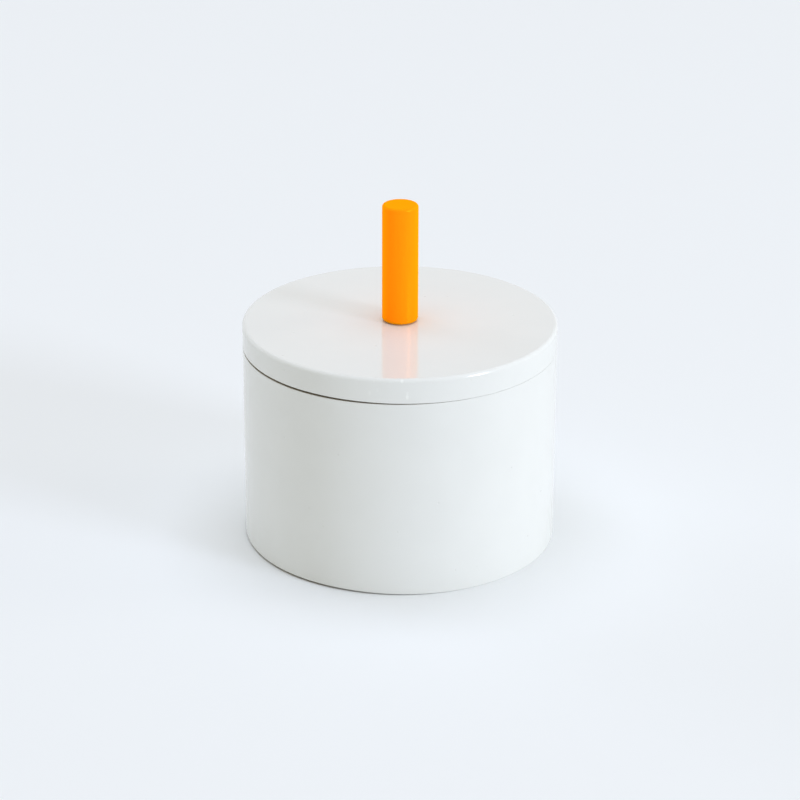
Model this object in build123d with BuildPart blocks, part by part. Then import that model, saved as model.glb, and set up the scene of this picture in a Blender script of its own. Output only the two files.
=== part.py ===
"""Round lidded box in glazed stoneware, with a slim upright peg as the lid's handle.

Millimetres, +Z up. The origin is the centre of the foot ring, on the surface that the box stands on.
The lid rests on the jar's rim, and its locating ring drops into the jar's mouth. A screw comes up through
the lid, past a soft washer, into a threaded insert in the peg.
"""

from build123d import *
import os

# Jar
jar_diameter = 105.0
jar_height = 67.5
wall_thickness = 5.0
floor_thickness = 5.0
inner_floor_round = 4.0
rim_inner_round = 1.0
rim_outer_round = 0.4
foot_ring_width = 7.0
foot_ring_depth = 1.5
foot_outer_round = 0.4
foot_inner_round = 0.6

# Lid
lid_edge_height = 8.5
lid_plate_thickness = 5.0
lid_top_round = 1.2
lid_lower_round = 0.4
lid_hollow_round = 2.5
seam_gap = 0.3
seam_depth = 3.0
locating_ring_depth = 6.0
locating_ring_width = 3.7
locating_ring_clearance = 0.8
locating_ring_round = 1.0

# Peg handle
handle_diameter = 12.0
handle_height = 40.5
handle_edge_round = 0.9

# Fastening of the peg
thread_diameter = 4.0
thread_clearance = 0.05
insert_wall = 1.0
insert_length = 10.0
insert_fit_clearance = 0.02
insert_groove_width = 0.8
insert_groove_depth = 0.4
drill_clearance = 0.25
drill_past_insert = 4.0
lid_hole_clearance = 0.5
washer_hole_clearance = 0.15
screw_washer_rim = 0.5
screw_washer_thickness = 0.8
cushion_washer_rim = 2.5
cushion_washer_thickness = 1.0
cushion_edge_round = 0.3
screw_head_diameter = 8.0
screw_head_height = 3.1
screw_head_round = 1.35
screw_tip_gap = 0.8
screw_tip_bevel = 0.7
recess_wing_length = 4.4
recess_wing_width = 0.9
recess_depth = 1.9
recess_draft = 8.0

# A round takes up no more than this share of a wall that it cuts into
largest_round_share = 0.45
same_place = 0.001

# Worked out from the sizes above
jar_radius = jar_diameter / 2
jar_bore_radius = jar_radius - wall_thickness
inner_floor = foot_ring_depth + floor_thickness
foot_bore_radius = jar_radius - foot_ring_width
lid_top = jar_height + lid_edge_height
lid_underside = lid_top - lid_plate_thickness
lid_lower_edge = jar_height + seam_gap
seat_radius = jar_radius - seam_depth
ring_radius = jar_bore_radius - locating_ring_clearance
ring_bore_radius = ring_radius - locating_ring_width
ring_bottom = jar_height - locating_ring_depth
lid_hole_radius = thread_diameter / 2 + lid_hole_clearance
handle_radius = handle_diameter / 2
handle_top = lid_top + handle_height
insert_bore_radius = thread_diameter / 2
insert_radius = insert_bore_radius + insert_wall
insert_top = lid_top + insert_length
groove_bottom = lid_top + (insert_length - insert_groove_width) / 2
drill_radius = thread_diameter / 2 + drill_clearance
screw_radius = thread_diameter / 2 - thread_clearance
screw_head_radius = screw_head_diameter / 2
screw_washer_radius = screw_head_radius + screw_washer_rim
cushion_radius = screw_washer_radius + cushion_washer_rim
washer_bore_radius = thread_diameter / 2 + washer_hole_clearance
cushion_bottom = lid_underside - cushion_washer_thickness
washer_bottom = cushion_bottom - screw_washer_thickness
screw_head_bottom = washer_bottom - screw_head_height
screw_tip = insert_top - screw_tip_gap


def soften(turned, radius, height, edge_round, *walls):
    """Rounds the circular edge of a turned piece at one radius and height, as far as its walls leave room."""
    circles = turned.edges().filter_by(GeomType.CIRCLE)
    at_height = circles.filter_by(lambda edge: abs(edge.center().Z - height) < same_place)
    chosen = at_height.filter_by(lambda edge: abs(edge.radius - radius) < same_place)
    room = [largest_round_share * wall for wall in walls]
    fillet(chosen, min(edge_round, *room))


# The jar is turned from one profile: foot ring, straight wall, rim and inner floor
with BuildPart() as jar:
    with BuildSketch(Plane.XZ):
        with BuildLine():
            Polyline(
                (0, foot_ring_depth),
                (foot_bore_radius, foot_ring_depth),
                (foot_bore_radius, 0),
                (jar_radius, 0),
                (jar_radius, jar_height),
                (jar_bore_radius, jar_height),
                (jar_bore_radius, inner_floor),
                (0, inner_floor),
                close=True,
            )
        make_face()
    revolve(axis=Axis.Z)
    soften(jar, jar_bore_radius, inner_floor, inner_floor_round, jar_height - inner_floor, jar_bore_radius)
    soften(jar, jar_bore_radius, jar_height, rim_inner_round, wall_thickness)
    soften(jar, jar_radius, jar_height, rim_outer_round, wall_thickness)
    soften(jar, jar_radius, 0, foot_outer_round, foot_ring_width)
    soften(jar, foot_bore_radius, 0, foot_inner_round, foot_ring_width, foot_ring_depth)

# The lid is a disc with a thick edge, hollow inside its locating ring. Its outermost edge stands a hair
# above the rim, which leaves the dark seam line
with BuildPart() as lid:
    with BuildSketch(Plane.XZ):
        with BuildLine():
            Polyline(
                (lid_hole_radius, lid_underside),
                (ring_bore_radius, lid_underside),
                (ring_bore_radius, ring_bottom),
                (ring_radius, ring_bottom),
                (ring_radius, jar_height),
                (seat_radius, jar_height),
                (seat_radius, lid_lower_edge),
                (jar_radius, lid_lower_edge),
                (jar_radius, lid_top),
                (lid_hole_radius, lid_top),
                close=True,
            )
        make_face()
    revolve(axis=Axis.Z)
    soften(lid, jar_radius, lid_top, lid_top_round, lid_edge_height)
    soften(lid, jar_radius, lid_lower_edge, lid_lower_round, lid_edge_height, seam_depth)
    soften(lid, ring_bore_radius, lid_underside, lid_hollow_round, lid_underside - ring_bottom)
    soften(lid, ring_radius, ring_bottom, locating_ring_round, locating_ring_width, locating_ring_depth)
    soften(lid, ring_bore_radius, ring_bottom, locating_ring_round, locating_ring_width)

# The peg stands on the lid and is bored from below for its insert and for the screw's tip
with BuildPart() as handle:
    with BuildSketch(Plane.XY.offset(lid_top)):
        Circle(handle_radius)
    extrude(amount=handle_height)
    soften(handle, handle_radius, handle_top, handle_edge_round, handle_radius)
    soften(handle, handle_radius, lid_top, handle_edge_round, handle_radius - insert_radius)
    with BuildSketch(Plane.XY.offset(lid_top)):
        Circle(insert_radius + insert_fit_clearance)
    extrude(amount=insert_length, mode=Mode.SUBTRACT)
    with BuildSketch(Plane.XY.offset(insert_top)):
        Circle(drill_radius)
    extrude(amount=drill_past_insert, mode=Mode.SUBTRACT)

# The insert is a threaded sleeve with a glue groove round its middle
with BuildPart() as handle_insert:
    with BuildSketch(Plane.XY.offset(lid_top)):
        Circle(insert_radius)
        Circle(insert_bore_radius, mode=Mode.SUBTRACT)
    extrude(amount=insert_length)
    with BuildSketch(Plane.XY.offset(groove_bottom)):
        Circle(insert_radius)
        Circle(insert_radius - insert_groove_depth, mode=Mode.SUBTRACT)
    extrude(amount=insert_groove_width, mode=Mode.SUBTRACT)

# The screw hangs head down: a pan head with a cross recess, and a shank with a bevelled tip
with BuildPart() as handle_screw:
    with BuildSketch(Plane.XY.offset(screw_head_bottom)):
        Circle(screw_head_radius)
    extrude(amount=screw_head_height)
    soften(handle_screw, screw_head_radius, screw_head_bottom, screw_head_round, screw_head_height)
    with BuildSketch(Plane.XY.offset(washer_bottom)):
        Circle(screw_radius)
    extrude(amount=screw_tip - washer_bottom)
    chamfer(handle_screw.edges().filter_by(GeomType.CIRCLE).sort_by(Axis.Z)[-1], screw_tip_bevel)
    with BuildSketch(Plane.XY.offset(screw_head_bottom)):
        Rectangle(recess_wing_length, recess_wing_width)
        Rectangle(recess_wing_width, recess_wing_length)
    extrude(amount=recess_depth, taper=recess_draft, mode=Mode.SUBTRACT)

# The steel washer spreads the screw's pull
with BuildPart() as screw_washer:
    with BuildSketch(Plane.XY.offset(washer_bottom)):
        Circle(screw_washer_radius)
        Circle(washer_bore_radius, mode=Mode.SUBTRACT)
    extrude(amount=screw_washer_thickness)

# The soft washer keeps steel off the fired clay
with BuildPart() as cushion_washer:
    with BuildSketch(Plane.XY.offset(cushion_bottom)):
        Circle(cushion_radius)
        Circle(washer_bore_radius, mode=Mode.SUBTRACT)
    extrude(amount=cushion_washer_thickness)
    soften(cushion_washer, cushion_radius, cushion_bottom, cushion_edge_round, cushion_washer_thickness)

jar.part.label = "jar"
lid.part.label = "lid"
handle.part.label = "handle"
handle_insert.part.label = "handle_insert"
handle_screw.part.label = "handle_screw"
screw_washer.part.label = "screw_washer"
cushion_washer.part.label = "cushion_washer"

os.makedirs("parts", exist_ok=True)
export_step(jar.part, "parts/jar.step")
export_step(lid.part, "parts/lid.step")
export_step(handle.part, "parts/handle.step")
export_step(handle_insert.part, "parts/handle_insert.step")
export_step(handle_screw.part, "parts/handle_screw.step")
export_step(screw_washer.part, "parts/screw_washer.step")
export_step(cushion_washer.part, "parts/cushion_washer.step")
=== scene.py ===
"""Looks of a round lidded stoneware box with a lacquered peg handle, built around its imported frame.

Metres, +Z up, in the frame's own axes. Each piece is a mesh, turned, threaded or cut where its solid lies.
"""

import math

import bmesh
import bpy
from bpy.props import FloatProperty, FloatVectorProperty, IntProperty, PointerProperty
from mathutils import Matrix, Vector


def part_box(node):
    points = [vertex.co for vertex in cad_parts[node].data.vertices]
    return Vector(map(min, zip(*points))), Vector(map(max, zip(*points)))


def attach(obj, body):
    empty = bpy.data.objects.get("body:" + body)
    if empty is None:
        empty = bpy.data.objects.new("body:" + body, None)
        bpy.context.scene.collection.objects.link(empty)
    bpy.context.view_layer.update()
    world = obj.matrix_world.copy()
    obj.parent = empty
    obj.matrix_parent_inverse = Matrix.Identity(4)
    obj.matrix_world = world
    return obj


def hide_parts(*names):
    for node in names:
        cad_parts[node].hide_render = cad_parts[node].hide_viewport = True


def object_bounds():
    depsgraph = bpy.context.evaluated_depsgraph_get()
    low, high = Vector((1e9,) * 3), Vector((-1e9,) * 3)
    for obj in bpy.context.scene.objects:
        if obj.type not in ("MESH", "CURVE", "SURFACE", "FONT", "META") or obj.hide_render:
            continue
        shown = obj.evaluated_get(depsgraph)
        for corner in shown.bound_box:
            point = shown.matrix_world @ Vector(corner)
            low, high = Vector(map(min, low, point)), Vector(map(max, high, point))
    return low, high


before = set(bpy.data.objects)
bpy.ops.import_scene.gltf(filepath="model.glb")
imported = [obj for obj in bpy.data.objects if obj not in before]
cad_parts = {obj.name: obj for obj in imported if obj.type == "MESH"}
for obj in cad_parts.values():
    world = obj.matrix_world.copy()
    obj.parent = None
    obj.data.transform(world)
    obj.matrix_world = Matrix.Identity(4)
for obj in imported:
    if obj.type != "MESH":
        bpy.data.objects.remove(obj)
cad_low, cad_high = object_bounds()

bl_info = {
    "name": "Lidded stoneware box",
    "version": (1, 0, 0),
    "blender": (4, 5, 0),
    "location": "3D View > Sidebar > Lidded box",
    "description": "Turns a glazed box, its lid and its lacquered peg, and sets them on a pale floor",
    "category": "Add Mesh",
}

MM = 0.001

# Steps along each rounded corner and along one pitch of a thread, and sides of each turning
ARC_STEPS = 8
THREAD_ROWS = 8
WARE_SIDES = 256
PEG_SIDES = 128
WASHER_SIDES = 128
SCREW_SIDES = 96
SIDES_PER_TOOTH = 8
# Usual step along a straight run of an outline, and how near to its ends a loop keeps the shading flat
RUN_STEP = 2.5 * MM
SUPPORT = 0.12 * MM
# From the middle of the floor to each lamp, in metres
LAMP_DISTANCE = 5.0

JAR_LOW, JAR_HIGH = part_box("jar")
LID_LOW, LID_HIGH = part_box("lid")
PEG_LOW, PEG_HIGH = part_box("handle")
INSERT_LOW, INSERT_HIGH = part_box("handle_insert")
SCREW_LOW, SCREW_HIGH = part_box("handle_screw")
WASHER_LOW, WASHER_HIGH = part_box("screw_washer")
CUSHION_LOW, CUSHION_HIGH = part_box("cushion_washer")


def linear(hex_colour):
    """An sRGB hex colour as linear red, green, blue and full opacity."""
    channels = [int(hex_colour[i : i + 2], 16) / 255 for i in (1, 3, 5)]
    return tuple(c / 12.92 if c <= 0.04045 else ((c + 0.055) / 1.055) ** 2.4 for c in channels) + (1.0,)


def length_property(name, description, millimetres):
    """A property that holds a size, shown in the user's own length unit."""
    return FloatProperty(
        name=name, description=description, default=millimetres * MM, unit="LENGTH", precision=5
    )


def angle_property(name, description, degrees):
    """A property that holds an angle."""
    return FloatProperty(name=name, description=description, default=math.radians(degrees), unit="ROTATION")


def power_property(name, description, watts):
    """A property that holds the power of a lamp."""
    return FloatProperty(name=name, description=description, default=watts, min=0, unit="POWER")


def colour_property(name, description, hex_colour):
    """A property that holds a colour."""
    return FloatVectorProperty(
        name=name,
        description=description,
        default=linear(hex_colour),
        size=4,
        min=0,
        max=1,
        subtype="COLOR",
    )


class StonewareSettings(bpy.types.PropertyGroup):
    """Sizes and colours of the two fired pieces."""

    wall: length_property("Wall", "Thickness of the jar's wall", 5.0)
    floor: length_property("Floor", "Thickness of the jar's floor", 5.0)
    floor_round: length_property("Floor round", "Round between the wall and the inner floor", 4.0)
    rim_inner_round: length_property("Inner rim round", "Round on the inside of the rim", 1.0)
    rim_outer_round: length_property("Outer rim round", "Round on the outside of the rim", 0.4)
    foot_width: length_property("Foot width", "Width of the foot ring", 7.0)
    foot_depth: length_property("Foot depth", "Depth of the hollow inside the foot ring", 1.5)
    foot_outer_round: length_property("Outer foot round", "Round on the outside of the foot ring", 0.4)
    foot_inner_round: length_property("Inner foot round", "Round on the inside of the foot ring", 0.6)
    lid_plate: length_property("Lid plate", "Thickness of the lid over its hollow", 5.0)
    lid_top_round: length_property("Lid top round", "Round on the lid's upper edge", 1.2)
    lid_lower_round: length_property("Lid lower round", "Round on the lid's lower edge", 0.4)
    lid_hollow_round: length_property("Lid hollow round", "Round inside the lid's hollow", 2.5)
    seam_gap: length_property("Seam gap", "Height of the open seam between lid and rim", 0.3)
    seam_depth: length_property("Seam depth", "How far the open seam goes in", 3.0)
    ring_width: length_property("Ring width", "Width of the lid's locating ring", 3.7)
    ring_clearance: length_property("Ring clearance", "Gap between the locating ring and the wall", 0.8)
    ring_round: length_property("Ring round", "Round on the locating ring's lower edges", 1.0)
    hole_radius: length_property("Screw hole radius", "Radius of the hole through the lid", 2.5)
    seam_tight: length_property("Tightest seam", "Lid's edge over the rim, where the two nearly meet", 0.06)
    seam_wide: length_property("Widest seam", "Lid's edge over the rim, where the kiln drew it back", 0.4)
    rim_drop: length_property("Rim drop", "How far the rim's edge sinks where the kiln drew it back", 0.2)
    foot_lift: length_property("Foot lift", "How far the foot lifts where the kiln drew it back", 0.6)
    glaze_stop: length_property("Glaze stop", "How far in from the wall the wiped clay begins", 0.3)
    tight_side: angle_property("Tight side", "Direction, from +X, in which seam and foot close up", 327)
    glaze: colour_property("Glaze", "Colour of the white glaze", "#E9EBE7")
    clay: colour_property("Clay", "Colour of the bare fired clay", "#B5AA97")


class PegSettings(bpy.types.PropertyGroup):
    """Sizes and colour of the peg."""

    edge_round: length_property("Edge round", "Round on the peg's two edges", 0.9)
    drill_radius: length_property("Drill radius", "Radius of the drilled hole past the insert", 2.25)
    drill_depth: length_property("Drill depth", "Depth of the drilled hole past the insert", 4.0)
    insert_clearance: length_property("Insert clearance", "Gap round the insert", 0.02)
    heel_lift: length_property("Heel lift", "How far the underside's edge stands clear of the lid", 0.25)
    heel_width: length_property("Heel width", "Width of the underside that stands clear", 1.4)
    lacquer: colour_property("Lacquer", "Colour of the lacquer", "#FF9210")
    # Painted red light: this emission stays on where no lamp reaches and brightens the peg's shaded side
    painted_glow: colour_property("Glow", "Colour that the fluorescent pigment gives back", "#FF1400")
    shine: colour_property("Shine", "Tint of the lacquer's shine at its rims", "#FFE600")


class FasteningSettings(bpy.types.PropertyGroup):
    """Sizes and colours of the screw, insert and washers."""

    thread_pitch: length_property("Thread pitch", "Pitch of the screw's thread", 0.7)
    thread_depth: length_property("Thread depth", "Depth of the screw's thread", 0.38)
    shank_radius: length_property("Shank radius", "Outer radius of the screw's thread", 1.95)
    head_height: length_property("Head height", "Height of the screw's head", 3.1)
    head_round: length_property("Head round", "Round on the screw's head", 1.35)
    recess_length: length_property("Recess length", "Length of the cross recess", 4.4)
    recess_width: length_property("Recess width", "Width of the recess's wings", 0.9)
    recess_depth: length_property("Recess depth", "Depth of the cross recess", 1.9)
    insert_bore: length_property("Insert bore", "Radius of the insert's threaded bore", 2.0)
    recess_draft: angle_property("Recess draft", "Taper of the cross recess", 8)
    tip_bevel: length_property("Tip bevel", "Bevel on the screw's tip", 0.7)
    groove_width: length_property("Groove width", "Width of the insert's glue groove", 0.8)
    groove_depth: length_property("Groove depth", "Depth of the insert's glue groove", 0.4)
    knurl_depth: length_property("Knurl depth", "Depth of the insert's knurl", 0.2)
    knurl_teeth: IntProperty(
        name="Knurl teeth", description="Teeth round the insert's knurl", default=24, min=8
    )
    washer_bore: length_property("Washer bore", "Radius of the washers' holes", 2.15)
    washer_round: length_property("Washer round", "Round on the steel washer's edges", 0.12)
    washer_gap: length_property("Washer gap", "Gap that lets the soft washer turn on the steel one", 0.01)
    cushion_round: length_property("Cushion round", "Round on the soft washer's lower edge", 0.3)
    steel: colour_property("Steel", "Colour of the plated steel", "#C7C9C6")
    brass: colour_property("Brass", "Colour of the brass", "#D2AE63")
    rubber: colour_property("Rubber", "Colour of the rubber", "#2B2B2A")


class StageSettings(bpy.types.PropertyGroup):
    """Floor, light and camera."""

    floor_colour: colour_property("Floor", "Colour of the floor and of what lies behind it", "#F2F5F5")
    floor_radius: length_property("Floor radius", "Radius of the floor", 9000)
    fill: FloatProperty(
        name="Fill", description="Level of the even light from all round", default=0.468, min=0
    )
    fill_colour: colour_property("Fill colour", "Colour of the even light", "#FFF8E7")
    window: power_property("Window", "Power of the low window on the right", 119.6)
    side_strip: power_property("Side strip", "Power of the strip beside it", 24.2)
    card: power_property("Card", "Power of the card behind on the left", 41.5)
    roof: power_property("Roof", "Power of the wide soft box above", 147.4)
    daylight: colour_property("Daylight", "Colour of the window, the card and the soft box", "#E0E9FF")
    lens: FloatProperty(
        name="Lens", description="Focal length on a 36 mm sensor", default=125.09, unit="CAMERA"
    )
    distance: length_property("Distance", "Camera to target", 936.6)
    elevation: angle_property("Elevation", "Camera above the horizon", 22.93)
    roll: angle_property("Roll", "Tilt of the frame", 0.17)
    target: FloatVectorProperty(
        name="Target",
        description="Point in the middle of the frame",
        default=(0.07 * MM, 0, 46.91 * MM),
        subtype="XYZ",
    )


def add_node(tree, kind, settings=None, inputs=None):
    """Adds a node with its settings. An input is a value, or the output of another node."""
    node = tree.nodes.new(kind)
    for name, value in (settings or {}).items():
        setattr(node, name, value)
    for socket, value in (inputs or {}).items():
        if isinstance(value, bpy.types.NodeSocket):
            tree.links.new(value, node.inputs[socket])
        else:
            node.inputs[socket].default_value = value
    return node


def new_material(name):
    """A material with an empty node tree, and that tree."""
    material = bpy.data.materials.new(name)
    material.use_nodes = True
    material.node_tree.nodes.clear()
    return material, material.node_tree


def scale_for(feature_mm):
    """Scale of a pattern, on coordinates in metres, whose features are that many millimetres across."""
    return 1.0 / (feature_mm * MM)


def glazed_stoneware(name, settings, bare_below, bare_above, painted_glints_at):
    """White tin glaze, dipped and fired on stoneware; the seat and foot were wiped bare before firing.

    The eye gets a clean gloss with a faint orange peel, stray pinholes, a patch of painted glints (whiter
    spots that stand in for glints of light on the glaze) round one point, and warm dull clay at the bare
    bands.
    """
    material, tree = new_material(name)
    place = add_node(tree, "ShaderNodeTexCoord").outputs["Object"]
    height = add_node(tree, "ShaderNodeSeparateXYZ", inputs={0: place}).outputs["Z"]
    # The sponge leaves a ragged edge, which strays this far to both sides and fades over twice this width
    stray, fade = 0.12 * MM, 0.06 * MM
    ragged = add_node(
        tree, "ShaderNodeTexNoise", inputs={"Vector": place, "Scale": scale_for(4), "Detail": 3}
    )
    wander = add_node(
        tree,
        "ShaderNodeMapRange",
        inputs={"Value": ragged.outputs[0], "To Min": -stray, "To Max": stray},
    ).outputs[0]
    edge = add_node(tree, "ShaderNodeMath", {"operation": "ADD"}, {0: height, 1: wander}).outputs[0]
    below = add_node(
        tree,
        "ShaderNodeMapRange",
        inputs={"Value": edge, "From Min": bare_below + fade, "From Max": bare_below - fade},
    ).outputs[0]
    above = add_node(
        tree,
        "ShaderNodeMapRange",
        inputs={"Value": edge, "From Min": bare_above - fade, "From Max": bare_above + fade},
    ).outputs[0]
    banded = add_node(tree, "ShaderNodeMath", {"operation": "MAXIMUM"}, {0: below, 1: above}).outputs[0]
    level = add_node(
        tree, "ShaderNodeVectorMath", {"operation": "MULTIPLY"}, {0: place, 1: (1, 1, 0)}
    ).outputs[0]
    across = add_node(tree, "ShaderNodeVectorMath", {"operation": "LENGTH"}, {0: level}).outputs["Value"]
    reach = add_node(tree, "ShaderNodeMath", {"operation": "ADD"}, {0: across, 1: wander}).outputs[0]
    stop = JAR_HIGH.x - settings.glaze_stop
    inside = add_node(
        tree,
        "ShaderNodeMapRange",
        inputs={"Value": reach, "From Min": stop + fade, "From Max": stop - fade},
    ).outputs[0]
    bare = add_node(tree, "ShaderNodeMath", {"operation": "MULTIPLY"}, {0: banded, 1: inside}).outputs[0]

    cloud = add_node(
        tree, "ShaderNodeTexNoise", inputs={"Vector": place, "Scale": scale_for(14), "Detail": 2}
    )
    tint = add_node(
        tree,
        "ShaderNodeMapRange",
        inputs={"Value": cloud.outputs[0], "From Min": 0.3, "From Max": 0.7, "To Min": 0.985},
    ).outputs[0]
    # Painted glints: small whiter spots, stretched upright, that stand in for glints of light on the glaze
    runs = add_node(tree, "ShaderNodeMapping", inputs={"Vector": place, "Scale": (1, 1, 0.5)}).outputs[0]
    glint_cells = add_node(tree, "ShaderNodeTexVoronoi", inputs={"Vector": runs, "Scale": scale_for(2.4)})
    painted_glint = add_node(
        tree,
        "ShaderNodeMapRange",
        {"interpolation_type": "SMOOTHSTEP"},
        {"Value": glint_cells.outputs["Distance"], "From Min": 0.3, "From Max": 0.1},
    ).outputs[0]
    off = add_node(
        tree, "ShaderNodeVectorMath", {"operation": "DISTANCE"}, {0: place, 1: painted_glints_at}
    ).outputs["Value"]
    # The painted glints fill a patch round one point and fade out at its edge
    none_beyond, all_within = 11 * MM, 9 * MM
    glint_patch = add_node(
        tree,
        "ShaderNodeMapRange",
        inputs={"Value": off, "From Min": none_beyond, "From Max": all_within, "To Max": 0.12},
    ).outputs[0]
    # Random tone of the glaze, plus the painted glints, which lift it brighter than its own colour
    tone_and_painted_glints = add_node(
        tree, "ShaderNodeMath", {"operation": "MULTIPLY_ADD"}, {0: painted_glint, 1: glint_patch, 2: tint}
    ).outputs[0]
    white = add_node(
        tree,
        "ShaderNodeMix",
        {"data_type": "RGBA", "blend_type": "MULTIPLY"},
        {0: 1.0, 6: settings.glaze, 7: tone_and_painted_glints},
    ).outputs[2]
    grain = add_node(
        tree, "ShaderNodeTexNoise", inputs={"Vector": place, "Scale": scale_for(0.5), "Detail": 4}
    )
    dark_clay = [0.7 * c for c in settings.clay[:3]] + [1.0]
    clay = add_node(
        tree,
        "ShaderNodeMix",
        {"data_type": "RGBA"},
        {0: grain.outputs[0], 6: settings.clay, 7: dark_clay},
    ).outputs[2]
    colour = add_node(tree, "ShaderNodeMix", {"data_type": "RGBA"}, {0: bare, 6: white, 7: clay}).outputs[2]
    roughness = add_node(
        tree, "ShaderNodeMapRange", inputs={"Value": bare, "To Min": 0.11, "To Max": 0.85}
    ).outputs[0]

    peel = add_node(
        tree, "ShaderNodeTexNoise", inputs={"Vector": place, "Scale": scale_for(8), "Detail": 1}
    )
    smooth = add_node(
        tree, "ShaderNodeBump", inputs={"Strength": 0.4, "Distance": 0.03 * MM, "Height": peel.outputs[0]}
    )
    # Pinholes are drawn about 1 mm wide, wider than most real ones, so that they show
    cells = add_node(tree, "ShaderNodeTexVoronoi", inputs={"Vector": place, "Scale": scale_for(7)})
    pinhole = add_node(
        tree,
        "ShaderNodeMapRange",
        {"interpolation_type": "SMOOTHSTEP"},
        {"Value": cells.outputs["Distance"], "From Min": 0.0, "From Max": 0.07},
    ).outputs[0]
    dimpled = add_node(
        tree,
        "ShaderNodeBump",
        inputs={"Strength": 1.0, "Distance": 0.12 * MM, "Height": pinhole, "Normal": smooth.outputs[0]},
    )
    gritty = add_node(
        tree,
        "ShaderNodeBump",
        inputs={
            "Strength": bare,
            "Distance": 0.06 * MM,
            "Height": grain.outputs[0],
            "Normal": dimpled.outputs[0],
        },
    )
    shader = add_node(
        tree,
        "ShaderNodeBsdfPrincipled",
        inputs={"Base Color": colour, "Roughness": roughness, "IOR": 1.6, "Normal": gritty.outputs[0]},
    )
    add_node(tree, "ShaderNodeOutputMaterial", inputs={"Surface": shader.outputs[0]})
    return material


def orange_lacquer(name, settings):
    """Orange gloss lacquer, dipped over a turned beech dowel, with a painted red emission that stays on in
    shade.

    The eye gets a vivid even colour whose shine stays golden, with a trace of long grain under the film.
    A little metallic gives that golden shine, because a clear film's white rims don't show on this peg.
    """
    material, tree = new_material(name)
    place = add_node(tree, "ShaderNodeTexCoord").outputs["Object"]
    along = add_node(tree, "ShaderNodeMapping", inputs={"Vector": place, "Scale": (1, 1, 0.04)}).outputs[0]
    grain = add_node(
        tree, "ShaderNodeTexNoise", inputs={"Vector": along, "Scale": scale_for(0.8), "Detail": 3}
    )
    shade = add_node(
        tree,
        "ShaderNodeMapRange",
        inputs={"Value": grain.outputs[0], "From Min": 0.3, "From Max": 0.7, "To Min": 0.95},
    ).outputs[0]
    colour = add_node(
        tree,
        "ShaderNodeMix",
        {"data_type": "RGBA", "blend_type": "MULTIPLY"},
        {0: 1.0, 6: settings.lacquer, 7: shade},
    ).outputs[2]
    film = add_node(
        tree, "ShaderNodeBump", inputs={"Strength": 0.4, "Distance": 0.01 * MM, "Height": grain.outputs[0]}
    )
    # The painted emission fades out towards the peg's foot, which paints shade into the gap under the peg
    dark_below, lit_above = PEG_LOW.z + 0.3 * MM, PEG_LOW.z + 2 * MM
    height = add_node(tree, "ShaderNodeSeparateXYZ", inputs={0: place}).outputs["Z"]
    painted_emission_share = add_node(
        tree,
        "ShaderNodeMapRange",
        {"interpolation_type": "SMOOTHSTEP"},
        {"Value": height, "From Min": dark_below, "From Max": lit_above},
    ).outputs[0]
    painted_glow = add_node(
        tree, "ShaderNodeMix", {"data_type": "RGBA"}, {0: painted_emission_share, 6: (0, 0, 0, 1), 7: settings.painted_glow}
    ).outputs[2]
    shader = add_node(
        tree,
        "ShaderNodeBsdfPrincipled",
        inputs={
            "Base Color": colour,
            "Metallic": 0.2,
            "Roughness": 0.3,
            "IOR": 1.48,
            "Specular IOR Level": 0.0,
            "Specular Tint": settings.shine,
            "Sheen Weight": 0.6,
            "Sheen Roughness": 0.8,
            "Sheen Tint": settings.shine,
            "Normal": film.outputs[0],
            # Painted red light: a constant emission that no lamp drives
            "Emission Color": painted_glow,
            "Emission Strength": 0.45,
        },
    )
    add_node(tree, "ShaderNodeOutputMaterial", inputs={"Surface": shader.outputs[0]})
    return material


def zinc_plated_steel(name, settings):
    """Cold-headed steel with a thin bright zinc plating.

    The eye gets a cool grey metal with a fine cloudy sheen.
    """
    material, tree = new_material(name)
    place = add_node(tree, "ShaderNodeTexCoord").outputs["Object"]
    cloud = add_node(
        tree, "ShaderNodeTexNoise", inputs={"Vector": place, "Scale": scale_for(1.2), "Detail": 4}
    )
    rough = add_node(
        tree, "ShaderNodeMapRange", inputs={"Value": cloud.outputs[0], "To Min": 0.22, "To Max": 0.42}
    ).outputs[0]
    shader = add_node(
        tree,
        "ShaderNodeBsdfPrincipled",
        inputs={"Base Color": settings.steel, "Metallic": 1.0, "Roughness": rough},
    )
    add_node(tree, "ShaderNodeOutputMaterial", inputs={"Surface": shader.outputs[0]})
    return material


def turned_brass(name, settings):
    """Free-cutting brass turned from bar.

    The eye gets a yellow metal with fine rings left by the tool.
    """
    material, tree = new_material(name)
    place = add_node(tree, "ShaderNodeTexCoord").outputs["Object"]
    # Rings 0.3 mm apart, coarser than a real cut, so that they show.
    # The node runs through 20 radians of its wave in each unit.
    radians_per_unit = 20
    ring_scale = scale_for(0.3) * 2 * math.pi / radians_per_unit
    rings = add_node(
        tree,
        "ShaderNodeTexWave",
        {"wave_type": "BANDS", "bands_direction": "Z"},
        {"Vector": place, "Scale": ring_scale, "Distortion": 0.4},
    )
    cut = add_node(
        tree, "ShaderNodeBump", inputs={"Strength": 0.3, "Distance": 0.02 * MM, "Height": rings.outputs[0]}
    )
    shader = add_node(
        tree,
        "ShaderNodeBsdfPrincipled",
        inputs={"Base Color": settings.brass, "Metallic": 1.0, "Roughness": 0.28, "Normal": cut.outputs[0]},
    )
    add_node(tree, "ShaderNodeOutputMaterial", inputs={"Surface": shader.outputs[0]})
    return material


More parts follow.
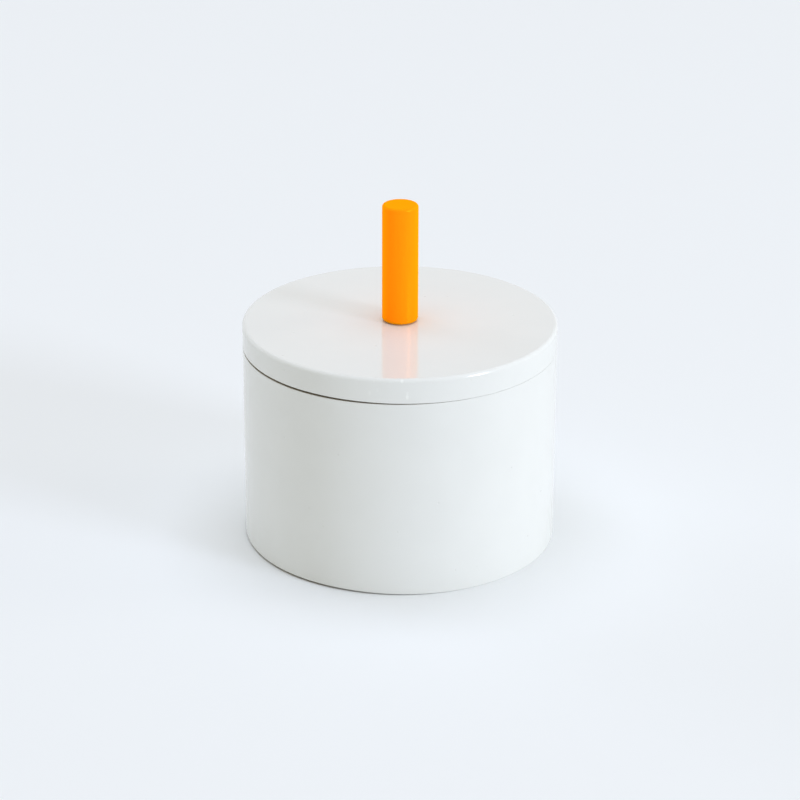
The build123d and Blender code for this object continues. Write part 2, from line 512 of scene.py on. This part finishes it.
def punched_rubber(name, settings):
    """Soft black rubber sheet, punched to a washer.

    The eye gets a dull dark grey with a fine cloth print.
    """
    material, tree = new_material(name)
    place = add_node(tree, "ShaderNodeTexCoord").outputs["Object"]
    weave = add_node(
        tree, "ShaderNodeTexNoise", inputs={"Vector": place, "Scale": scale_for(0.4), "Detail": 2}
    )
    cloth = add_node(
        tree, "ShaderNodeBump", inputs={"Strength": 0.5, "Distance": 0.05 * MM, "Height": weave.outputs[0]}
    )
    shader = add_node(
        tree,
        "ShaderNodeBsdfPrincipled",
        inputs={"Base Color": settings.rubber, "Roughness": 0.7, "IOR": 1.52, "Normal": cloth.outputs[0]},
    )
    add_node(tree, "ShaderNodeOutputMaterial", inputs={"Surface": shader.outputs[0]})
    return material


def studio_paper(name, settings):
    """Wide pale paper, rolled out under the object.

    The eye gets an even matt ground with a barely visible tooth. Past the lamps' reach it melts into the
    backdrop.
    """
    material, tree = new_material(name)
    place = add_node(tree, "ShaderNodeTexCoord").outputs["Object"]
    # The tooth is drawn 0.6 mm across, coarser than real paper's, so that it shows
    tooth = add_node(
        tree, "ShaderNodeTexNoise", inputs={"Vector": place, "Scale": scale_for(0.6), "Detail": 2}
    )
    felt = add_node(
        tree, "ShaderNodeBump", inputs={"Strength": 0.1, "Distance": 0.02 * MM, "Height": tooth.outputs[0]}
    )
    shader = add_node(
        tree,
        "ShaderNodeBsdfPrincipled",
        inputs={
            "Base Color": settings.floor_colour,
            "Roughness": 0.9,
            "Specular IOR Level": 0.1,
            "Normal": felt.outputs[0],
        },
    )
    melts_from, melted_by = 1.0, 3.0
    away = add_node(tree, "ShaderNodeVectorMath", {"operation": "LENGTH"}, {0: place}).outputs["Value"]
    far = add_node(
        tree,
        "ShaderNodeMapRange",
        {"interpolation_type": "SMOOTHSTEP"},
        {"Value": away, "From Min": melts_from, "From Max": melted_by},
    ).outputs[0]
    seen = add_node(tree, "ShaderNodeLightPath").outputs["Is Camera Ray"]
    melted = add_node(tree, "ShaderNodeMath", {"operation": "MULTIPLY"}, {0: far, 1: seen}).outputs[0]
    backdrop = add_node(tree, "ShaderNodeEmission", inputs={"Color": settings.floor_colour}).outputs[0]
    ground = add_node(tree, "ShaderNodeMixShader", inputs={0: melted, 1: shader.outputs[0], 2: backdrop})
    add_node(tree, "ShaderNodeOutputMaterial", inputs={"Surface": ground.outputs[0]})
    return material


def corner_points(before, corner, after, edge_round):
    """Points of the arc that rounds one corner of an outline."""
    to_before = (before - corner).normalized()
    to_after = (after - corner).normalized()
    half = to_before.angle(to_after) / 2
    centre = corner + (to_before + to_after).normalized() * (edge_round / math.sin(half))
    start = corner + to_before * (edge_round / math.tan(half)) - centre
    end = corner + to_after * (edge_round / math.tan(half)) - centre
    turn = math.pi - 2 * half
    points = []
    for step in range(ARC_STEPS + 1):
        share = step / ARC_STEPS
        mixed = (start * math.sin((1 - share) * turn) + end * math.sin(share * turn)) / math.sin(turn)
        points.append(centre + mixed)
    return points


def outline(corners, closed, run_step=RUN_STEP):
    """Points (radius, height) of a turned outline: straight runs, with the corners rounded as they say."""
    places = [Vector((radius, height)) for radius, height, _ in corners]
    count = len(corners)
    rounded = []
    for i, (_, _, edge_round) in enumerate(corners):
        inner = closed or 0 < i < count - 1
        if inner and edge_round > 0:
            rounded.append(corner_points(places[i - 1], places[i], places[(i + 1) % count], edge_round))
        else:
            rounded.append([places[i]])
    points = []
    for i, arc in enumerate(rounded):
        points += arc
        if not closed and i == count - 1:
            break
        start, end = arc[-1], rounded[(i + 1) % count][0]
        run = (end - start).length
        if run < 3 * SUPPORT:
            continue
        steps = max(1, round(run / run_step))
        shares = sorted({SUPPORT / run, 1 - SUPPORT / run, *(k / steps for k in range(1, steps))})
        points += [start.lerp(end, share) for share in shares]
    return points


def plain_turning(radius, height, angle):
    """Leaves a turned point where it is."""
    return radius, height


def turned_mesh(name, points, closed, sides, worked=plain_turning):
    """A mesh turned about Z from its outline.

    worked moves each point, by its angle, to where the maker left it.
    """
    mesh = bmesh.new()
    rings = []
    for radius, height in points:
        if radius < SUPPORT / 10:
            rings.append([mesh.verts.new((0, 0, height))])
            continue
        ring = []
        for k in range(sides):
            angle = 2 * math.pi * k / sides
            reach, level = worked(radius, height, angle)
            ring.append(mesh.verts.new((reach * math.cos(angle), reach * math.sin(angle), level)))
        rings.append(ring)
    pairs = list(zip(rings, rings[1:]))
    if closed:
        pairs.append((rings[-1], rings[0]))
    for lower, upper in pairs:
        for k in range(sides):
            n = (k + 1) % sides
            below = [lower[k % len(lower)], lower[n % len(lower)]]
            above = [upper[n % len(upper)], upper[k % len(upper)]]
            # A ring on the axis is one point, which counts once
            corners = list(dict.fromkeys(below + above))
            if len(corners) > 2:
                mesh.faces.new(corners)
    bmesh.ops.recalc_face_normals(mesh, faces=mesh.faces)
    return smooth_faces(finished_mesh(name, mesh))


def finished_mesh(name, mesh):
    """The mesh data that a mesh under construction ends as."""
    data = bpy.data.meshes.new(name)
    mesh.to_mesh(data)
    mesh.free()
    return data


def smooth_faces(data):
    """Shades a mesh smooth, apart from its sharp edges."""
    data.polygons.foreach_set("use_smooth", [True] * len(data.polygons))
    data.set_sharp_from_angle(angle=math.radians(40))
    return data


def cut_from(data, cutter):
    """The mesh that is left after a cutter's mesh is taken out of it."""
    blank = bpy.data.objects.new("blank", data)
    tool = bpy.data.objects.new("tool", cutter)
    for helper in (blank, tool):
        bpy.context.scene.collection.objects.link(helper)
    cut = blank.modifiers.new("cut", "BOOLEAN")
    cut.object = tool
    cut.operation = "DIFFERENCE"
    cut.solver = "EXACT"
    result = bpy.data.meshes.new_from_object(blank.evaluated_get(bpy.context.evaluated_depsgraph_get()))
    for helper in (blank, tool):
        bpy.data.objects.remove(helper)
    if len(result.polygons) == len(data.polygons):
        raise RuntimeError("The cutter took nothing out of " + data.name)
    return smooth_faces(result)


def clamp(share):
    """A share kept between none and all."""
    return max(0.0, min(1.0, share))


def drawn_back(ware, angle):
    """How far the kiln has drawn an edge back at an angle: 0 on the tight side, 1 round the far side."""
    share = clamp(1 - math.cos(angle - ware.tight_side))
    return share * share * (3 - 2 * share)


def tightened(radius, height, corner_radius, corner_height, edge_round, share):
    """A point of a rounded edge, moved into the corner where the edge is tight."""
    inside = corner_radius - radius
    beside = height - corner_height
    # A hair past the round, so that its own end points count
    reach = edge_round * 1.001
    if inside > reach or abs(beside) > reach:
        return radius, height
    # This share of the round is left where the edge is tightest
    least = 0.15
    kept = least + (1 - least) * share
    return corner_radius - kept * inside, corner_height + kept * beside


def thread_depth_at(parts, height, angle):
    """How far a right-hand thread is cut in at a height and angle."""
    turn = (height / parts.thread_pitch - angle / (2 * math.pi)) % 1.0
    return parts.thread_depth * (1 - abs(2 * turn - 1))


def new_piece(name, data, material, body, node):
    """An object for a finished mesh, which rides on its body and stands for its solid."""
    piece = bpy.data.objects.new(name, data)
    bpy.context.scene.collection.objects.link(piece)
    data.materials.clear()
    data.materials.append(material)
    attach(piece, body)
    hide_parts(node)
    return piece


def soft_box(name, colour, power, azimuth, rise, width, height):
    """A flat lamp aimed at the origin.

    Its azimuth is counted from the camera's side towards +X, its rise from the floor, both in degrees.
    """
    lamp = bpy.data.lights.new(name, "AREA")
    lamp.shape = "RECTANGLE"
    lamp.size = width
    lamp.size_y = height
    lamp.energy = power
    lamp.color = colour[:3]
    light = bpy.data.objects.new(name, lamp)
    bpy.context.scene.collection.objects.link(light)
    turn, lift = math.radians(azimuth), math.radians(rise)
    towards = Vector((math.cos(lift) * math.sin(turn), -math.cos(lift) * math.cos(turn), math.sin(lift)))
    light.location = LAMP_DISTANCE * towards
    light.rotation_euler = (-towards).to_track_quat("-Z", "Y").to_euler()
    return light


class BOX_OT_jar(bpy.types.Operator):
    """Turns the glazed jar with its foot ring and bare rim"""

    bl_idname = "lidded_box.jar"
    bl_label = "Jar"

    def execute(self, context):
        ware = context.scene.box_stoneware
        radius, rim = JAR_HIGH.x, JAR_HIGH.z
        bore = radius - ware.wall
        inner_floor = ware.foot_depth + ware.floor
        corners = [
            (0, ware.foot_depth, 0),
            (radius - ware.foot_width, ware.foot_depth, 0),
            (radius - ware.foot_width, 0, ware.foot_inner_round),
            (radius, 0, ware.foot_outer_round),
            (radius, rim, ware.rim_outer_round),
            (bore, rim, ware.rim_inner_round),
            (bore, inner_floor, ware.floor_round),
            (0, inner_floor, 0),
        ]

        # The kiln drew back only the outer part of the foot, and of the rim what lies beyond the lid's seat
        foot_start, foot_rise = radius - 0.7 * ware.foot_width, ware.foot_width / 4
        rim_start, rim_fall = radius - ware.seam_depth, ware.seam_depth / 2
        foot_reach, rim_reach = 2 * ware.foot_depth, 2 * MM

        def fired(point_radius, height, angle):
            """Where the kiln left a point of the jar: rim and foot are drawn back on all but one side."""
            share = drawn_back(ware, angle)
            point_radius, height = tightened(point_radius, height, radius, rim, ware.rim_outer_round, share)
            point_radius, height = tightened(point_radius, height, radius, 0, ware.foot_outer_round, share)
            at_foot = clamp((point_radius - foot_start) / foot_rise) * clamp(1 - height / foot_reach)
            at_rim = clamp((point_radius - rim_start) / rim_fall) * clamp(1 - (rim - height) / rim_reach)
            return point_radius, height + share * (ware.foot_lift * at_foot - ware.rim_drop * at_rim)

        data = turned_mesh("glazed_jar", outline(corners, closed=False), False, WARE_SIDES, fired)
        # Painted glints sit in a patch round this point, inside the jar; foot and rim were wiped bare up to
        # here
        painted_glints_at = (0, bore - 8 * MM, rim / 2)
        bare_below, bare_above = 1.0 * MM, rim - 0.6 * MM
        glaze = glazed_stoneware("white_glaze_on_stoneware_jar", ware, bare_below, bare_above, painted_glints_at)
        new_piece("glazed_jar", data, glaze, "jar", "jar")
        return {"FINISHED"}


class BOX_OT_lid(bpy.types.Operator):
    """Turns the glazed lid with its locating ring and screw hole"""

    bl_idname = "lidded_box.lid"
    bl_label = "Lid"

    def execute(self, context):
        ware = context.scene.box_stoneware
        radius, top, rim = LID_HIGH.x, LID_HIGH.z, JAR_HIGH.z
        ring = JAR_HIGH.x - ware.wall - ware.ring_clearance
        ring_bore = ring - ware.ring_width
        seat = radius - ware.seam_depth
        lower_edge = rim + ware.seam_gap
        corners = [
            (ware.hole_radius, top - ware.lid_plate, 0),
            (ring_bore, top - ware.lid_plate, ware.lid_hollow_round),
            (ring_bore, LID_LOW.z, ware.ring_round),
            (ring, LID_LOW.z, ware.ring_round),
            (ring, rim, 0),
            (seat, rim, 0),
            (seat, lower_edge, 0),
            (radius, lower_edge, ware.lid_lower_round),
            (radius, top, ware.lid_top_round),
            (ware.hole_radius, top, 0),
        ]

        edge_reach = 2 * MM

        def fired(point_radius, height, angle):
            """Where the kiln left a point of the lid: its lower edge is drawn back on all but one side."""
            share = drawn_back(ware, angle)
            if point_radius < seat + SUPPORT / 10:
                return point_radius, height
            point_radius, height = tightened(
                point_radius, height, radius, lower_edge, ware.lid_lower_round, share
            )
            seam = ware.seam_tight + share * (ware.seam_wide - ware.seam_tight)
            near = clamp(1 - (height - lower_edge - ware.lid_lower_round) / edge_reach)
            return point_radius, height + near * (seam - ware.seam_gap)

        data = turned_mesh("glazed_lid", outline(corners, closed=True), True, WARE_SIDES, fired)
        # Painted glints sit in a patch round this point, at the lid's front edge; below the seam it was
        # wiped bare, and nowhere at its top
        painted_glints_at = (-2 * MM, -radius - 6 * MM, (rim + top) / 2)
        bare_below, bare_above = rim + 0.8 * MM, 2 * top
        glaze = glazed_stoneware("white_glaze_on_stoneware_lid", ware, bare_below, bare_above, painted_glints_at)
        new_piece("glazed_lid", data, glaze, "lid", "lid")
        return {"FINISHED"}


class BOX_OT_peg(bpy.types.Operator):
    """Turns the lacquered peg and its bore"""

    bl_idname = "lidded_box.peg"
    bl_label = "Peg handle"

    def execute(self, context):
        peg = context.scene.box_peg
        radius, low, high = PEG_HIGH.x, PEG_LOW.z, PEG_HIGH.z
        insert_bore = INSERT_HIGH.x + peg.insert_clearance
        insert_top = INSERT_HIGH.z
        corners = [
            (0, insert_top + peg.drill_depth, 0),
            (peg.drill_radius, insert_top + peg.drill_depth, 0),
            (peg.drill_radius, insert_top, 0),
            (insert_bore, insert_top, 0),
            (insert_bore, low, 0),
            (radius - peg.heel_width, low, 0),
            (radius - peg.heel_width, low + peg.heel_lift, 0),
            (radius, low + peg.heel_lift, peg.edge_round),
            (radius, high, peg.edge_round),
            (0, high, 0),
        ]
        data = turned_mesh("lacquered_peg", outline(corners, closed=False), False, PEG_SIDES)
        lacquer = orange_lacquer("orange_lacquer_on_beech", peg)
        new_piece("lacquered_peg", data, lacquer, "handle_set", "handle")
        return {"FINISHED"}


def recess_mesh(parts, low):
    """A cross with drafted sides, which sinks the recess into a screw's head from below."""
    taper = parts.recess_depth * math.tan(parts.recess_draft)
    mesh = bmesh.new()
    levels = []
    for level, grow in ((low - parts.recess_depth, taper), (low + parts.recess_depth, -taper)):
        far, near = parts.recess_length / 2 + grow, parts.recess_width / 2 + grow
        wing = [(far, -near), (far, near), (near, near)]
        cross = []
        for _ in range(4):
            cross += wing
            wing = [(-y, x) for x, y in wing]
        levels.append([mesh.verts.new((x, y, level)) for x, y in cross])
    lower, upper = levels
    mesh.faces.new(lower)
    mesh.faces.new(upper)
    for k in range(len(lower)):
        n = (k + 1) % len(lower)
        mesh.faces.new((lower[k], lower[n], upper[n], upper[k]))
    bmesh.ops.recalc_face_normals(mesh, faces=mesh.faces)
    return finished_mesh("cross_recess", mesh)


class BOX_OT_screw(bpy.types.Operator):
    """Turns the pan head screw, cuts its thread and sinks its cross recess"""

    bl_idname = "lidded_box.screw"
    bl_label = "Screw"

    def execute(self, context):
        parts = context.scene.box_fastening
        head_radius, low, high = SCREW_HIGH.x, SCREW_LOW.z, SCREW_HIGH.z
        head_top = low + parts.head_height
        corners = [
            (0, low, 0),
            (head_radius, low, parts.head_round),
            (head_radius, head_top, parts.washer_round),
            (parts.shank_radius, head_top, 0),
            (parts.shank_radius, high - parts.tip_bevel, 0),
            (parts.shank_radius - parts.tip_bevel, high, 0),
            (0, high, 0),
        ]

        def threaded(radius, height, angle):
            """Cuts the thread into the shank, clear of the head."""
            if height < head_top + SUPPORT / 2:
                return radius, height
            return min(radius, parts.shank_radius - thread_depth_at(parts, height, angle)), height

        points = outline(corners, False, parts.thread_pitch / THREAD_ROWS)
        blank = turned_mesh("cross_head_screw", points, False, SCREW_SIDES, threaded)
        data = cut_from(blank, recess_mesh(parts, low))
        steel = zinc_plated_steel("zinc_plated_steel_screw", parts)
        new_piece("cross_head_screw", data, steel, "handle_set", "handle_screw")
        return {"FINISHED"}


class BOX_OT_insert(bpy.types.Operator):
    """Turns the brass insert with its thread, its diamond knurl and its glue groove"""

    bl_idname = "lidded_box.insert"
    bl_label = "Threaded insert"

    def execute(self, context):
        parts = context.scene.box_fastening
        radius, low, high = INSERT_HIGH.x, INSERT_LOW.z, INSERT_HIGH.z
        middle, half_groove = (low + high) / 2, parts.groove_width / 2
        groove = radius - parts.groove_depth
        corners = [
            (parts.insert_bore, low, 0),
            (radius, low, parts.washer_round),
            (radius, middle - half_groove, 0),
            (groove, middle - half_groove, 0),
            (groove, middle + half_groove, 0),
            (radius, middle + half_groove, 0),
            (radius, high, parts.washer_round),
            (parts.insert_bore, high, 0),
        ]

        def knurled(point_radius, height, angle):
            """Cuts the thread into the bore and rolls the knurl into the outside."""
            if point_radius < parts.insert_bore + SUPPORT / 2:
                return parts.insert_bore - thread_depth_at(parts, height, angle), height
            if point_radius < radius - SUPPORT / 2:
                return point_radius, height
            slant = parts.knurl_teeth * (height - low) / radius
            one_way = math.cos(parts.knurl_teeth * angle + slant)
            other_way = math.cos(parts.knurl_teeth * angle - slant)
            ends = clamp(min(height - low, high - height, abs(height - middle) - half_groove) / SUPPORT)
            depth = parts.knurl_depth * (1 - (1 + one_way) * (1 + other_way) / 4)
            return point_radius - ends * depth, height

        points = outline(corners, True, parts.thread_pitch / THREAD_ROWS)
        sides = SIDES_PER_TOOTH * parts.knurl_teeth
        data = turned_mesh("threaded_insert", points, True, sides, knurled)
        brass = turned_brass("lathe_turned_brass", parts)
        new_piece("threaded_insert", data, brass, "handle_set", "handle_insert")
        return {"FINISHED"}


def washer_mesh(name, low, high, bore, lower_round, upper_round):
    """A flat ring with softened outer edges."""
    corners = [
        (bore, low.z, 0),
        (high.x, low.z, lower_round),
        (high.x, high.z, upper_round),
        (bore, high.z, 0),
    ]
    return turned_mesh(name, outline(corners, closed=True), True, WASHER_SIDES)


class BOX_OT_washers(bpy.types.Operator):
    """Punches the steel washer and the soft washer above it"""

    bl_idname = "lidded_box.washers"
    bl_label = "Washers"

    def execute(self, context):
        parts = context.scene.box_fastening
        bore, edge = parts.washer_bore, parts.washer_round
        washer_high = WASHER_HIGH - Vector((0, 0, parts.washer_gap))
        washer = washer_mesh("steel_washer", WASHER_LOW, washer_high, bore, edge, edge)
        steel = zinc_plated_steel("zinc_plated_steel_washer", parts)
        new_piece("steel_washer", washer, steel, "handle_set", "screw_washer")
        cushion = washer_mesh("rubber_washer", CUSHION_LOW, CUSHION_HIGH, bore, parts.cushion_round, 0)
        rubber = punched_rubber("punched_black_rubber", parts)
        new_piece("rubber_washer", cushion, rubber, "lid", "cushion_washer")
        return {"FINISHED"}


def lay_floor(scene, stage):
    """A wide round sheet of paper under the box."""
    mesh = bmesh.new()
    bmesh.ops.create_circle(mesh, cap_ends=True, segments=96, radius=stage.floor_radius)
    data = finished_mesh("studio_floor", mesh)
    data.materials.append(studio_paper("pale_studio_paper", stage))
    floor = bpy.data.objects.new("studio_floor", data)
    # A hair below the foot, so that the two flat faces don't share one plane
    hair = 0.02 * MM
    floor.location.z = cad_low.z - hair
    scene.collection.objects.link(floor)


def fill_air(scene, stage):
    """An even light from all round. The camera and the gloss see the floor's colour in its place."""
    world = bpy.data.worlds.new("studio_air")
    world.use_nodes = True
    tree = world.node_tree
    tree.nodes.clear()
    scene.world = world
    path = add_node(tree, "ShaderNodeLightPath")
    mirrored = add_node(
        tree,
        "ShaderNodeMath",
        {"operation": "MAXIMUM"},
        {0: path.outputs["Is Glossy Ray"], 1: path.outputs["Is Transmission Ray"]},
    ).outputs[0]
    seen = add_node(
        tree,
        "ShaderNodeMath",
        {"operation": "MAXIMUM"},
        {0: path.outputs["Is Camera Ray"], 1: mirrored},
    ).outputs[0]
    even_light = [stage.fill * c for c in stage.fill_colour[:3]] + [1.0]
    colour = add_node(
        tree,
        "ShaderNodeMix",
        {"data_type": "RGBA"},
        {0: seen, 6: even_light, 7: stage.floor_colour},
    ).outputs[2]
    background = add_node(tree, "ShaderNodeBackground", inputs={"Color": colour})
    add_node(tree, "ShaderNodeOutputWorld", inputs={"Surface": background.outputs[0]})


def set_camera(scene, stage):
    """A camera in front of the box, aimed at the target and placed as the photograph's was."""
    lens = bpy.data.cameras.new("photo_camera")
    lens.lens = stage.lens
    lens.sensor_width = 36
    lens.clip_start, lens.clip_end = 0.01, 50
    camera = bpy.data.objects.new("photo_camera", lens)
    scene.collection.objects.link(camera)
    forward = Vector((0, math.cos(stage.elevation), -math.sin(stage.elevation)))
    upright = Vector((0, math.sin(stage.elevation), math.cos(stage.elevation)))
    side = Vector((1, 0, 0))
    right = math.cos(stage.roll) * side + math.sin(stage.roll) * upright
    up = math.cos(stage.roll) * upright - math.sin(stage.roll) * side
    turn = Matrix((right, up, -forward)).transposed().to_4x4()
    place = Vector(stage.target) - stage.distance * forward
    camera.matrix_world = Matrix.Translation(place) @ turn
    scene.camera = camera


class BOX_OT_stage(bpy.types.Operator):
    """Lays the floor and sets the lights and the camera"""

    bl_idname = "lidded_box.stage"
    bl_label = "Stage"

    def execute(self, context):
        stage = context.scene.box_stage
        context.scene.view_settings.view_transform = "Standard"
        lay_floor(context.scene, stage)
        fill_air(context.scene, stage)
        cool, warm = stage.daylight, stage.fill_colour
        soft_box("low_window", cool, stage.window, azimuth=57, rise=12.5, width=1.3, height=2.1)
        strip = soft_box("side_strip", warm, stage.side_strip, azimuth=95, rise=12, width=1.5, height=1.6)
        card = soft_box("left_card", cool, stage.card, azimuth=-125, rise=12, width=2.0, height=1.6)
        roof = soft_box("roof_box", cool, stage.roof, azimuth=180, rise=87.5, width=4.0, height=4.0)
        # These three stand for light from all of a white room, so no edge of them shows in the gloss
        for light in (strip, card, roof):
            light.visible_glossy = False
        set_camera(context.scene, stage)
        return {"FINISHED"}


class BOX_PT_panel(bpy.types.Panel):
    """Lists the steps that make the box"""

    bl_idname = "BOX_PT_panel"
    bl_label = "Lidded box"
    bl_space_type = "VIEW_3D"
    bl_region_type = "UI"
    bl_category = "Lidded box"

    def draw(self, context):
        for operator in OPERATORS:
            self.layout.operator(operator.bl_idname)


SETTINGS = {
    "box_stoneware": StonewareSettings,
    "box_peg": PegSettings,
    "box_fastening": FasteningSettings,
    "box_stage": StageSettings,
}
OPERATORS = (BOX_OT_jar, BOX_OT_lid, BOX_OT_peg, BOX_OT_screw, BOX_OT_insert, BOX_OT_washers, BOX_OT_stage)


def register():
    """Adds the settings, the operators and the panel."""
    for name, group in SETTINGS.items():
        bpy.utils.register_class(group)
        setattr(bpy.types.Scene, name, PointerProperty(type=group))
    for cls in (*OPERATORS, BOX_PT_panel):
        bpy.utils.register_class(cls)


def unregister():
    """Takes away all that register added."""
    for cls in reversed((*OPERATORS, BOX_PT_panel)):
        bpy.utils.unregister_class(cls)
    for name, group in SETTINGS.items():
        delattr(bpy.types.Scene, name)
        bpy.utils.unregister_class(group)


def main():
    """Makes every piece and the stage."""
    register()
    bpy.ops.lidded_box.jar()
    bpy.ops.lidded_box.lid()
    bpy.ops.lidded_box.peg()
    bpy.ops.lidded_box.screw()
    bpy.ops.lidded_box.insert()
    bpy.ops.lidded_box.washers()
    bpy.ops.lidded_box.stage()


if __name__ == "__main__":
    main()
